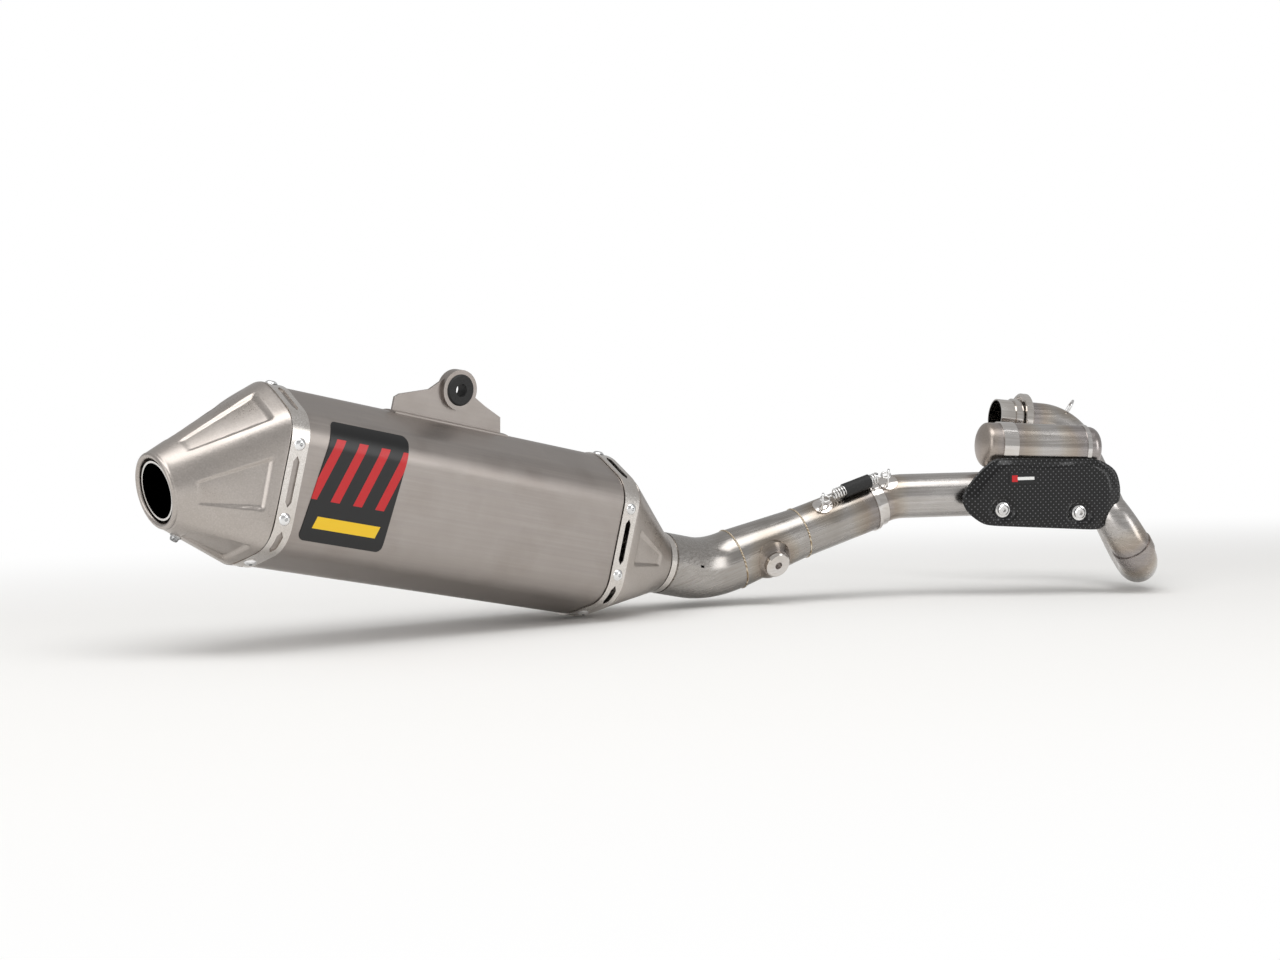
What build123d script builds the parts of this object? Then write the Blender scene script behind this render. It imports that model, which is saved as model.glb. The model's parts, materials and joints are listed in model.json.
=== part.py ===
from build123d import *
import os
from math import cos, pi, radians, sin, sqrt

# Full racing exhaust for a single-cylinder off-road bike. Millimetres.
# +X is the bike's forward direction, +Y its left side, +Z up.
# The origin is the centre of the header's open mouth, where it meets the exhaust port.

# ---------------------------------------------------------------- driving sizes
# header: from the port forward, down, round a U-bend and back along the right side
wall = 1.2
port_tube_od = 35.0
rear_tube_od = 40.0
header_turns = [(71, -22, -7), (94, -100, -148), (35, -163, -117), (22, -114, -66)]
rear_turn = (-164, -56, -69)
header_radii = [40.0, 40.5, 40.5, 35.5]
rear_turn_radius = 60.0
mouth_length = 15.0
step_rise = 1.7
step_length = 8.0

# loose ring behind the mouth
ring_rim = 7.5
ring_width = 7.0
ring_play = 0.5
ring_lip = 3.0
ring_wall = 3.0
ring_gap = 0.4
spigot_tail = 1.4

# link pipe
link_yaw = -7.9
link_pitch = 18.1
joint_setback = 24.0
link_run = 172.0
link_rear_od = 53.4
link_front_od = 45.2
elbow_radius = 75.0
slide_fit = 0.05
spigot_depth = 34.0
collar_length = 9.0

# silencer
silencer_yaw = 11.5
silencer_pitch = -10.8
silencer_roll = 5.0
sleeve_length = 322.0
sleeve_half_width = 53.6
shoulder_height = 46.5
apex_height = 71.0
shoulder_radius = 27.0
apex_radius = 36.0
sleeve_wall = 1.0
band_width = 15.0
band_wall = 1.2
neck_drop = 12.0
neck_gap = 98.0
neck_run = 153.0
socket_depth = 23.0
outlet_drop = 23.8
outlet_reach = 67.5
outlet_tilt = 22.0
outlet_od = 44.0
lip_radius = 28.5

# small parts
rivet_head = 9.5
rivet_shank = 4.8
grommet_od = 25.0
grommet_bore = 10.4
eye_height = 94.6
screw_head = 13.6
spring_od = 10.4
spring_wire = 1.9

# heat shield
shield_standoff = 15.0
shield_depth = 5.5
shield_wall = 1.8

# resonator chamber
chamber_od = 42.0
chamber_gap = 5.0
chamber_out = 8.0

os.makedirs("parts", exist_ok=True)


def save(part, label):
    part.label = label
    export_step(part, f"parts/{label}.step")
    return part


def heading(yaw, pitch):
    """Unit vector that points yaw degrees to the left of +X and pitch degrees up."""
    y = radians(yaw)
    p = radians(pitch)
    return Vector(cos(y) * cos(p), sin(y) * cos(p), sin(p))


# ---------------------------------------------------------------- frames
link_forward = heading(link_yaw, link_pitch)
rear_turn_point = Vector(*rear_turn)
joint_point = rear_turn_point - link_forward * joint_setback
elbow_point = joint_point - link_forward * link_run

silencer_forward = heading(silencer_yaw, silencer_pitch)
level_left = heading(silencer_yaw + 90, 0)
silencer_left = level_left.rotate(Axis((0, 0, 0), silencer_forward), silencer_roll)
silencer_up = silencer_forward.cross(silencer_left)
neck_start = elbow_point - silencer_forward * neck_run
silencer_front = neck_start + silencer_up * neck_drop
silencer_rear = silencer_front - silencer_forward * sleeve_length

# silencer frame: x to its left, y up through its apex, z forward, from the outlet end
silencer = Plane(origin=silencer_rear, x_dir=silencer_left, z_dir=silencer_forward)
# link pipe frame: z forward along the pipe, x left, from the elbow's corner
link = Plane(
    origin=elbow_point,
    x_dir=Vector(0, 0, 1).cross(link_forward),
    z_dir=link_forward,
)
# run frame: x forward along the header's straight run, y up, z out to the right
run_end = Vector(*header_turns[-1])
run_forward = (run_end - rear_turn_point).normalized()
run = Plane(
    origin=rear_turn_point,
    x_dir=run_forward,
    z_dir=run_forward.cross(Vector(0, 0, 1)),
)


def on(plane, x, y, z):
    """Point given in a frame's own coordinates."""
    return plane.from_local_coords(Vector(x, y, z))


def along(plane, z, x=0.0, y=0.0):
    """Plane parallel to a frame's xy plane, moved to (x, y, z) in that frame."""
    return Plane(origin=on(plane, x, y, z), x_dir=plane.x_dir, z_dir=plane.z_dir)


def across(wire, t):
    """Plane square to a path at the fraction t of its length."""
    return Plane(origin=wire @ t, z_dir=wire % t)


def pipe(wire, outer, bore):
    """Hollow tube along a path."""
    with BuildPart() as tube:
        with BuildSketch(across(wire, 0)):
            Circle(outer / 2)
        sweep(path=wire)
        with BuildSketch(across(wire, 0)):
            Circle(bore / 2)
        sweep(path=wire, mode=Mode.SUBTRACT)
    return tube.part


def ring(plane, outer, bore, length):
    """Flat ring from a plane along its normal."""
    with BuildPart() as body:
        with BuildSketch(plane):
            Circle(outer / 2)
            Circle(bore / 2, mode=Mode.SUBTRACT)
        extrude(amount=length)
    return body.part


def bead(plane, radius, size):
    """Weld bead round a straight tube."""
    with BuildPart() as body:
        with Locations(plane.location):
            Torus(radius, size)
        with Locations(plane.location):
            Cylinder(radius, 4 * size, mode=Mode.SUBTRACT)
    return body.part


def turned(plane, profile):
    """Body of revolution: (radius, height) points round a plane's normal."""
    half = Plane(origin=plane.origin, x_dir=plane.x_dir, z_dir=-plane.y_dir)
    with BuildPart() as body:
        with BuildSketch(half):
            with BuildLine():
                Polyline(*profile, close=True)
            make_face()
        revolve(axis=Axis(plane.origin, plane.z_dir))
    return body.part


# ---------------------------------------------------------------- header
with BuildLine() as header_line:
    FilletPolyline(
        (0, 0, 0),
        *header_turns,
        rear_turn,
        tuple(joint_point),
        radius=header_radii + [rear_turn_radius],
    )
header = header_line.wire()
header_length = header.length
port_bore = port_tube_od - 2 * wall
rear_bore = rear_tube_od - 2 * wall


def stretch(start, end):
    """Part of the header's centre line, between two distances from the mouth."""
    return header.trim(start / header_length, end / header_length)


def station(distance):
    """Plane square to the header at a distance from the mouth."""
    return across(header, distance / header_length)


# places along the header, as distances from the mouth
run_length = (run_end - rear_turn_point).length
rear_turn_angle = run_forward.get_angle(link_forward)
rear_arc = rear_turn_radius * radians(rear_turn_angle)
rear_tangent = rear_turn_radius * sin(radians(rear_turn_angle) / 2) / cos(radians(rear_turn_angle) / 2)
rear_turn_start = header_length - joint_setback + rear_tangent - rear_arc


def run_station(s):
    """Distance from the mouth of the point s forward of the rear turn's corner."""
    return rear_turn_start + rear_tangent - s


step_od = port_tube_od + 2 * step_rise
step_end = mouth_length + step_length
ring_start = step_end + ring_gap
spigot_end = ring_start + ring_width + spigot_tail
first_seam = spigot_end + 68.0
joint_ring_centre = run_station(run_length) - 64.0
joint_ring_width = 9.0
joint_ring_od = port_tube_od + 2.4
reducer_front = 150.0
reducer_back = 112.0
near_seam = run_station(reducer_front)
wide_seam = run_station(reducer_back)

# spigot turned in one piece: the mouth, the step that stops at the port, and a weld end
spigot_profile = [
    (port_bore / 2, 0),
    (port_tube_od / 2, 0),
    (port_tube_od / 2, mouth_length),
    (step_od / 2, mouth_length),
    (step_od / 2, step_end),
    (port_tube_od / 2, step_end),
    (port_tube_od / 2, spigot_end),
    (port_bore / 2, spigot_end),
]
save(turned(station(0), spigot_profile), "inlet_spigot")
save(pipe(stretch(spigot_end, first_seam), port_tube_od, port_bore), "inlet_bend")
ring_back = joint_ring_centre - joint_ring_width / 2
ring_front = joint_ring_centre + joint_ring_width / 2
save(pipe(stretch(first_seam, ring_back), port_tube_od, port_bore), "u_bend")
save(pipe(stretch(ring_back, ring_front), joint_ring_od, port_bore), "joint_ring")

with BuildPart() as header_reducer:
    with BuildSketch(station(near_seam)):
        Circle(port_tube_od / 2)
    with BuildSketch(station(wide_seam)):
        Circle(rear_tube_od / 2)
    loft()
    with BuildSketch(station(near_seam)):
        Circle(port_bore / 2)
    with BuildSketch(station(wide_seam)):
        Circle(rear_bore / 2)
    loft(mode=Mode.SUBTRACT)
save(header_reducer.part, "header_reducer")

# the rear tube ends in a turned sleeve that slides inside the link pipe
slip_od = link_front_od - 2 * wall - 2 * slide_fit
rear_tube_end = header_length - collar_length
save(pipe(stretch(wide_seam, rear_tube_end), rear_tube_od, rear_bore), "rear_tube")
slip_front = along(link, link_run + collar_length)
with BuildPart() as slip_sleeve:
    with BuildSketch(slip_front):
        Circle(slip_od / 2)
        Circle(rear_bore / 2, mode=Mode.SUBTRACT)
    extrude(amount=-(collar_length + spigot_depth))
    lead_edge = slip_sleeve.edges().filter_by(GeomType.CIRCLE).group_by(SortBy.RADIUS)[-1]
    chamfer(lead_edge, 0.6)
save(slip_sleeve.part, "slip_sleeve")


def tube_solid(start, end, outer):
    """Outer solid of a stretch of the header."""
    with BuildPart() as solid:
        with BuildSketch(station(start)):
            Circle(outer / 2)
        sweep(path=stretch(start, end))
    return solid.part


beads = [
    bead(station(spigot_end), port_tube_od / 2, 0.9),
    bead(station(first_seam), port_tube_od / 2, 0.7),
    bead(station(wide_seam + 0.8), rear_tube_od / 2, 0.7),
]
save(Compound(children=beads), "header_weld_beads")

# ---------------------------------------------------------------- link pipe
link_bore = link_rear_od - 2 * wall
socket_bore = link_front_od - 2 * wall
elbow_exit = 30.0
taper_length = 66.0
elbow_start = neck_start + silencer_forward * neck_gap
with BuildLine() as elbow_line:
    FilletPolyline(
        tuple(elbow_start),
        tuple(elbow_point),
        tuple(on(link, 0, 0, elbow_exit)),
        radius=elbow_radius,
    )
elbow_path = elbow_line.wire()
socket = Plane(origin=elbow_start, x_dir=silencer_left, z_dir=silencer_forward)
slit_length = 15.0
slit_width = 2.0

with BuildPart() as link_elbow:
    add(pipe(elbow_path, link_rear_od, link_bore))
    for angle in (45, -45):
        slit = socket.rotated((0, 0, angle))
        with BuildSketch(slit):
            Rectangle(link_rear_od * 1.5, slit_width)
        extrude(amount=slit_length, mode=Mode.SUBTRACT)
save(link_elbow.part, "link_elbow")

taper_end = elbow_exit + taper_length
link_profile = [
    (link_rear_od / 2, elbow_exit),
    (link_front_od / 2, taper_end),
    (link_front_od / 2, link_run),
    (socket_bore / 2, link_run),
    (socket_bore / 2, taper_end),
    (link_bore / 2, elbow_exit),
]
save(turned(link, link_profile), "link_tube")
link_beads = [
    bead(along(link, elbow_exit - 0.9), link_rear_od / 2, 0.8),
    bead(along(link, taper_end + 0.9), link_front_od / 2, 0.8),
]
save(Compound(children=link_beads), "link_weld_beads")
rim = ring(along(link, link_run - 3.0), link_front_od + 2.0, link_front_od, 3.0)
save(rim, "slip_rim")

# ---------------------------------------------------------------- silencer outlines


def rounded_hexagon(half_width, shoulder, apex, shoulder_fillet, apex_fillet):
    """Upright six-sided outline: a flat each side, a rounded point top and bottom."""
    with BuildSketch() as outline:
        Polygon(
            (half_width, -shoulder),
            (half_width, shoulder),
            (0, apex),
            (-half_width, shoulder),
            (-half_width, -shoulder),
            (0, -apex),
            align=None,
        )
        points = outline.vertices().group_by(Axis.X)
        shoulders = points[0] + points[-1]
        tips = points[1]
        fillet(shoulders, shoulder_fillet)
        tips = outline.vertices().filter_by(lambda v: abs(v.X) < 0.01)
        fillet(tips, apex_fillet)
    return outline.sketch


slope = (apex_height - shoulder_height) / sleeve_half_width
slope_length = sqrt(1 + slope * slope)


def near_circle(radius):
    """Six-sided outline rounded almost to a circle, so that it lofts to the sleeve's."""
    apex = radius * slope_length
    shoulder = apex - radius * slope
    return rounded_hexagon(radius, shoulder, apex, 0.97 * radius, 0.97 * radius)


outline = rounded_hexagon(
    sleeve_half_width, shoulder_height, apex_height, shoulder_radius, apex_radius
)
apex_top = apex_height - apex_radius * (slope_length - 1)


def grown(amount):
    return offset(outline, amount=amount)


def hex_tube(start, end, outer, inner):
    """Tube of the silencer's outline between two stations, outer and inner as offsets."""
    with BuildPart() as body:
        with BuildSketch(along(silencer, start)):
            add(grown(outer) if outer else outline)
        extrude(amount=end - start)
        with BuildSketch(along(silencer, start)):
            add(grown(inner) if inner else outline)
        extrude(amount=end - start, mode=Mode.SUBTRACT)
    return body.part


# ---------------------------------------------------------------- silencer
gap = 0.6
cap_wall = 2.0
skirt_wall = 1.5
skirt_play = 0.05
skirt_depth = 13.0
cap_end = sleeve_length + band_width
cap_length = 75.0
neck_collar = 6.0
spigot_od = link_bore - 2 * slide_fit
spigot_wall = 1.5
neck_centre = -neck_drop

# rivets: six-sided positions round a band, each with its outward direction
slope_run = 1 / slope_length
slope_rise = slope / slope_length
rivet_side_heights = (29.0, -26.0)
rivet_low_offset = 21.0
band_half_width = sleeve_half_width + band_wall
band_apex = apex_top + band_wall
grip = band_wall + sleeve_wall + skirt_play + skirt_wall + 1.6


def facing(x, y, z, out_x, out_y):
    """Plane on the silencer at (x, y, z) that faces (out_x, out_y), x along the silencer."""
    start = on(silencer, 0, 0, 0)
    normal = on(silencer, out_x, out_y, 0) - start
    return Plane(origin=on(silencer, x, y, z), x_dir=silencer_forward, z_dir=normal)


def on_slope(x, side, z):
    """Plane on a band's sloping face, side 1 above and -1 below."""
    y = apex_height - abs(x) * slope + band_wall * slope_length
    turn = 1 if x > 0 else -1
    return facing(x, side * y, z, turn * slope_rise, side * slope_run)


def rivet_places(z):
    places = [facing(0, band_apex, z, 0, 1)]
    for side in (-1, 1):
        for height in rivet_side_heights:
            places.append(facing(side * band_half_width, height, z, side, 0))
        places.append(on_slope(side * rivet_low_offset, -1, z))
    return places


def slot_places(z):
    """Middles of the slots between the rivets, each with the slot's length."""
    half_turn = radians(90 - Vector(sleeve_half_width, 0, 0).get_angle(
        Vector(sleeve_half_width, apex_height - shoulder_height, 0))) / 2
    arc_x = sleeve_half_width - shoulder_radius
    arc_y = shoulder_height - shoulder_radius * sin(half_turn) / cos(half_turn)
    reach = shoulder_radius + band_wall
    places = [(facing(0, -band_apex, z, 0, -1), 24.0)]
    for side in (-1, 1):
        middle = sum(rivet_side_heights) / 2
        places.append((facing(side * band_half_width, middle, z, side, 0), 38.0))
        places.append((on_slope(side * sleeve_half_width / 2, 1, z), 34.0))
        low = facing(
            side * (arc_x + reach * cos(half_turn)),
            -arc_y - reach * sin(half_turn),
            z,
            side * cos(half_turn),
            -sin(half_turn),
        )
        places.append((low, 20.0))
    return places


def rivet_set(z):
    """Dome rivets of one band, with a hollow core."""
    with BuildPart() as rivet:
        with BuildSketch(Plane.XZ):
            with BuildLine():
                ThreePointArc((rivet_head / 2, 0), (rivet_head * 0.36, 1.5), (1.4, 2.1))
                Polyline((1.4, 2.1), (1.4, -1.0), (0, -1.0), (0, -grip), (rivet_shank / 2, -grip))
                Polyline((rivet_shank / 2, -grip), (rivet_shank / 2, 0), (rivet_head / 2, 0))
            make_face()
        revolve(axis=Axis.Z)
    copies = [rivet.part.moved(place.location) for place in rivet_places(z)]
    return Compound(children=copies)


def drill_rivets(z):
    """Cut the rivet holes of one band out of the part being built."""
    for place in rivet_places(z):
        with Locations(place.location):
            Cylinder(rivet_shank / 2, 2 * grip + 4, mode=Mode.SUBTRACT)


def band(start):
    """Clamping band with a pointed slot between each pair of rivets."""
    middle = start + band_width / 2
    with BuildPart() as body:
        add(hex_tube(start, start + band_width, band_wall, 0))
        drill_rivets(middle)
        for place, length in slot_places(middle):
            half = length / 2
            with BuildSketch(place):
                Polygon(
                    (0, -half), (2.6, 4 - half), (2.6, half - 4),
                    (0, half), (-2.6, half - 4), (-2.6, 4 - half),
                    align=None,
                )
            extrude(amount=9, both=True, mode=Mode.SUBTRACT)
    return body.part


outlet_rivet_line = band_width / 2
inlet_band_start = sleeve_length + gap
inlet_rivet_line = inlet_band_start + band_width / 2

with BuildPart() as sleeve:
    add(hex_tube(0, sleeve_length, 0, -sleeve_wall))
    drill_rivets(outlet_rivet_line)
save(sleeve.part, "sleeve")

neck_face = along(silencer, cap_end + cap_length, 0, neck_centre)
cap_start = cap_end + 2 * gap
lip_outer = -sleeve_wall - skirt_play
lip_inner = lip_outer - skirt_wall
with BuildPart() as inlet_cap:
    with BuildSketch(along(silencer, cap_start)):
        add(grown(band_wall))
    with BuildSketch(neck_face):
        add(near_circle(link_rear_od / 2))
    loft()
    with BuildSketch(along(silencer, inlet_band_start)):
        add(outline)
    extrude(amount=cap_start - inlet_band_start)
    with BuildSketch(along(silencer, sleeve_length - skirt_depth)):
        add(grown(lip_outer))
    extrude(amount=inlet_band_start - sleeve_length + skirt_depth)
    with BuildSketch(along(silencer, cap_start)):
        add(grown(lip_inner))
    with BuildSketch(neck_face):
        add(near_circle(link_rear_od / 2 - cap_wall))
    loft(mode=Mode.SUBTRACT)
    with BuildSketch(along(silencer, sleeve_length - skirt_depth)):
        add(grown(lip_inner))
    extrude(amount=cap_start - sleeve_length + skirt_depth, mode=Mode.SUBTRACT)
    drill_rivets(inlet_rivet_line)
save(inlet_cap.part, "inlet_cap")

# outlet cap: from the sleeve's outline down to a round tip that faces down and back
tip_inward = Vector(0, sin(radians(outlet_tilt)), cos(radians(outlet_tilt)))
tip = Plane(
    origin=on(silencer, 0, -outlet_drop, -outlet_reach),
    x_dir=silencer_left,
    z_dir=on(silencer, *tip_inward) - silencer_rear,
)
tip_radius = lip_radius - 1.5
seat_depth = 20.0
seat_width = 2.5
insert_length = 58.0


def cap_body(shrink):
    """Closed body of the outlet cap, shrunk by a wall."""
    with BuildPart() as body:
        with BuildSketch(tip):
            add(near_circle(tip_radius - shrink))
        with BuildSketch(along(silencer, -gap)):
            add(grown(band_wall - shrink))
        loft()
    return body.part


with BuildPart() as outlet_seat:
    with BuildSketch(along(tip, seat_depth)):
        Circle(2.2 * tip_radius)
    extrude(amount=seat_width)
    add(cap_body(cap_wall), mode=Mode.INTERSECT)
    with BuildSketch(along(tip, seat_depth)):
        Circle(outlet_od / 2 + slide_fit)
    extrude(amount=seat_width, mode=Mode.SUBTRACT)
save(outlet_seat.part, "outlet_seat")

lip_size = 2.3
lip_middle = lip_radius - lip_size
with BuildPart() as outlet_lip:
    with BuildSketch(Plane(origin=tip.origin, x_dir=tip.x_dir, z_dir=-tip.y_dir)):
        with Locations((lip_middle, 0)):
            Circle(lip_size)
            Rectangle(3 * lip_size, 2 * lip_size, align=(Align.CENTER, Align.MIN), mode=Mode.SUBTRACT)
    revolve(axis=Axis(tip.origin, tip.z_dir))
save(outlet_lip.part, "outlet_lip")

save(band(0), "outlet_band")
save(rivet_set(outlet_rivet_line), "outlet_rivets")
save(band(inlet_band_start), "inlet_band")
save(rivet_set(inlet_rivet_line), "inlet_rivets")

# neck collar and spigot that the link pipe slides over
with BuildPart() as silencer_spigot:
    with BuildSketch(neck_face):
        Circle(link_rear_od / 2)
        Circle(spigot_od / 2 - spigot_wall, mode=Mode.SUBTRACT)
    extrude(amount=neck_collar)
    with BuildSketch(neck_face):
        Circle(spigot_od / 2)
        Circle(spigot_od / 2 - spigot_wall, mode=Mode.SUBTRACT)
    extrude(amount=neck_gap - band_width - cap_length + socket_depth)
save(silencer_spigot.part, "silencer_spigot")

# inside: plates, perforated core and packing
plate_wall = 1.5
core_od = 46.0
core_front = cap_end + 40.0
core_back = 6.0
core_hole = 6.0
hole_inset = 45.0
hole_pitch = 32.0
hole_rows = int((sleeve_length - 2 * hole_inset) / hole_pitch) + 1
plate_spots = (skirt_depth + 1, sleeve_length - skirt_depth - 1 - plate_wall)
for place, name in zip(plate_spots, ("core_plate_rear", "core_plate_front")):
    with BuildPart() as core_plate:
        with BuildSketch(along(silencer, place)):
            add(grown(-sleeve_wall - skirt_play))
            with Locations((0, neck_centre)):
                Circle(core_od / 2, mode=Mode.SUBTRACT)
        extrude(amount=plate_wall)
    save(core_plate.part, name)

with BuildPart() as perforated_core:
    with BuildSketch(along(silencer, core_back, 0, neck_centre)):
        Circle(core_od / 2)
        Circle(core_od / 2 - 1, mode=Mode.SUBTRACT)
    extrude(amount=core_front - core_back)
    for row in range(hole_rows):
        level = along(silencer, hole_inset + hole_pitch * row, 0, neck_centre)
        for angle in (0, 60, 120):
            with Locations(level.rotated((0, 90, angle)).location):
                Cylinder(core_hole / 2, core_od + 4, mode=Mode.SUBTRACT)
save(perforated_core.part, "perforated_core")

packing_start = plate_spots[0] + plate_wall + 1
packing_end = plate_spots[1] - 1
with BuildPart() as packing:
    with BuildSketch(along(silencer, packing_start)):
        add(grown(-sleeve_wall - 0.5))
        with Locations((0, neck_centre)):
            Circle(core_od / 2 + 0.3, mode=Mode.SUBTRACT)
    extrude(amount=packing_end - packing_start)
save(packing.part, "packing")

# removable noise insert in the tip
with BuildPart() as noise_insert:
    with BuildSketch(tip):
        Circle(outlet_od / 2)
        Circle(outlet_od / 2 - 1.5, mode=Mode.SUBTRACT)
    extrude(amount=insert_length)
save(noise_insert.part, "noise_insert")


def flanged_screw(plane, length, shank, screw_head=screw_head):
    """Flanged hex-socket button screw, its flange seated on the plane."""
    with BuildPart() as screw:
        with BuildSketch(Plane.XZ):
            with BuildLine():
                Polyline(
                    (0, -length), (shank / 2, -length), (shank / 2, 0), (screw_head / 2, 0),
                    (screw_head / 2, 1.0), (screw_head * 0.38, 1.7), (screw_head * 0.36, 3.4),
                    (screw_head * 0.28, 4.4), (0, 4.4),
                    close=True,
                )
            make_face()
        revolve(axis=Axis.Z)
        with BuildSketch(Plane.XY.offset(4.4)):
            RegularPolygon(screw_head / 6, 6)
        extrude(amount=-2.6, mode=Mode.SUBTRACT)
    return screw.part.moved(plane.location)


# a small screw holds the insert, square to the cap's sloping underside
screw_depth = 13.0
under_edge = on(silencer, 0, -band_apex, -gap)
tip_edge = on(tip, 0, -tip_radius, 0)
under_slope = (under_edge - tip_edge).normalized()
screw_seat = tip_edge + under_slope * screw_depth
screw_out = silencer_left.cross(under_slope)
screw_plane = Plane(origin=screw_seat + screw_out * 0.3, x_dir=silencer_left, z_dir=screw_out)
insert_screw_shank = 3.0
with BuildPart() as insert_screw:
    add(flanged_screw(Plane.XY, 6.0, insert_screw_shank, 8.6))
save(insert_screw.part.moved(screw_plane.location), "insert_screw")

with BuildPart() as outlet_cap:
    add(cap_body(0))
    add(cap_body(cap_wall), mode=Mode.SUBTRACT)
    inner = -sleeve_wall - skirt_play
    add(hex_tube(-3, skirt_depth, inner, inner - skirt_wall))
    drill_rivets(outlet_rivet_line)
    with Locations(screw_plane.location):
        Cylinder(insert_screw_shank / 2, 16, mode=Mode.SUBTRACT)
save(outlet_cap.part, "outlet_cap")


# hanger bracket on top
bracket_wall = 2.0
foot_wall = 1.2
foot_half_width = 9.0
foot_back = 115.0
foot_front = 226.0
eye_centre = 174.5
eye_outer = 16.0
eye_width = 9.0
foot_top = apex_top + foot_wall
plate_back = foot_back + 2.0
plate_front = foot_front - 2.0
with BuildPart() as bracket_foot:
    add(hex_tube(foot_back, foot_front, foot_wall, 0))
    with BuildSketch(along(silencer, foot_back)):
        Rectangle(2 * foot_half_width, 2 * apex_height, align=(Align.CENTER, Align.MIN))
    extrude(amount=foot_front - foot_back, mode=Mode.INTERSECT)
save(bracket_foot.part, "bracket_foot")

# the bracket's own plane: x forward along the silencer, y up
side = Plane(origin=silencer_rear, x_dir=silencer_forward, z_dir=-silencer_left)
with BuildPart() as bracket_plate:
    with BuildSketch(side):
        with BuildLine():
            Polyline(
                (plate_back, foot_top), (plate_back, foot_top + 10), (plate_back + 4, foot_top + 13),
                (eye_centre - 27, eye_height - 4.5), (eye_centre - 13, eye_height + 8),
                (eye_centre + 13, eye_height + 8), (eye_centre + 17, eye_height - 2.5),
                (plate_front - 20, foot_top + 18), (plate_front - 3, foot_top + 12),
                (plate_front, foot_top),
                close=True,
            )
        make_face()
        with Locations((eye_centre, eye_height)):
            Circle(eye_outer, mode=Mode.SUBTRACT)
    extrude(amount=bracket_wall / 2, both=True)
save(bracket_plate.part, "bracket_plate")

eye = along(side, -eye_width / 2, eye_centre, eye_height)
save(ring(eye, 2 * eye_outer, grommet_od, eye_width), "grommet_ring")
with BuildPart() as grommet:
    with BuildSketch(along(side, -eye_width / 2 - 1.5, eye_centre, eye_height)):
        Circle(grommet_od / 2)
        Circle(grommet_bore / 2, mode=Mode.SUBTRACT)
    extrude(amount=eye_width + 3)
    rims = grommet.edges().filter_by(GeomType.CIRCLE).group_by(SortBy.RADIUS)[-1]
    chamfer(rims, 1.2)
save(grommet.part, "grommet")

# flat panel on the right side, a slanted four-sided foil
panel_top = 50.0
panel_bottom = -39.0
panel_back = 22.0
panel_front = 105.0
panel_slant = 13.0
panel_wall = 0.5
with BuildPart() as badge_panel:
    with BuildSketch(side):
        panel = Polygon(
            (panel_back + panel_slant, panel_top), (panel_front, panel_top),
            (panel_front - 9, panel_bottom), (panel_back, panel_bottom),
            align=None,
        )
        fillet(panel.vertices(), 5)
    extrude(amount=sleeve_half_width + 5)
    add(hex_tube(panel_back - 12, panel_front + 15, panel_wall, 0), mode=Mode.INTERSECT)
save(badge_panel.part, "badge_panel")

# ---------------------------------------------------------------- mouth ring
ring_bore = port_tube_od + 2 * ring_play
ring_od = port_tube_od + 2 * ring_rim
ring_places = station(ring_start)
cup_bore = ring_od - 2 * ring_wall
mouth_ring = turned(
    ring_places,
    [
        (ring_bore / 2, ring_width - ring_lip),
        (ring_bore / 2, ring_width),
        (ring_od / 2 - 0.8, ring_width),
        (ring_od / 2, ring_width - 0.8),
        (ring_od / 2, 0.8),
        (ring_od / 2 - 0.8, 0),
        (cup_bore / 2, 0),
        (cup_bore / 2, ring_width - ring_lip),
    ],
)
save(mouth_ring, "inlet_flange_ring")

# ---------------------------------------------------------------- boss on the link pipe
boss_place = 57.0
boss_fall = 25.0
boss_od = 23.0
boss_face = 33.0
boss_bore = 6.8
boss_root = 24.0
boss_out = on(link, -cos(radians(boss_fall)), -sin(radians(boss_fall)), 0) - elbow_point
boss_foot = Plane(origin=on(link, 0, 0, boss_place), x_dir=link_forward, z_dir=boss_out)
link_solid = turned(
    link,
    [(0, elbow_exit), (link_rear_od / 2, elbow_exit), (link_front_od / 2, taper_end), (0, taper_end)],
)
saddle_top = boss_root + 4.5
with BuildPart() as boss_saddle:
    add(
        turned(
            boss_foot,
            [
                (0, boss_root - 12),
                (18.0, boss_root - 12),
                (18.0, boss_root - 1.5),
                (15.5, boss_root + 1),
                (boss_od / 2 + 0.8, saddle_top),
                (0, saddle_top),
            ],
        )
    )
    add(link_solid, mode=Mode.SUBTRACT)
save(boss_saddle.part, "boss_saddle")
with BuildPart() as mount_boss:
    with BuildSketch(along(boss_foot, saddle_top)):
        Circle(boss_od / 2)
    extrude(amount=boss_face - saddle_top)
    chamfer(mount_boss.faces().sort_by(Axis((0, 0, 0), boss_out))[-1].edges(), 1.0)
    with Locations(along(boss_foot, boss_face).location):
        Cylinder(boss_bore / 2, 2 * (boss_face - saddle_top), mode=Mode.SUBTRACT)
save(mount_boss.part, "mount_boss")

# ---------------------------------------------------------------- spring and its loops
spring_angle = 54.0
spring_gap = 8.4
spring_lift = link_front_od / 2 + spring_gap
loop_wire = 2.2
loop_width = 12.0
pad_wall = 1.5
pad_radius = 9.0
link_loop_place = link_run - 51.0
header_loop_place = link_run + 18.0


def spring_line(z, lift):
    """Point over the spring's line, at a station and a height above the link's axis."""
    x = -lift * cos(radians(spring_angle))
    y = lift * sin(radians(spring_angle))
    return on(link, x, y, z)


spring_out = spring_line(0, 1) - elbow_point


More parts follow.
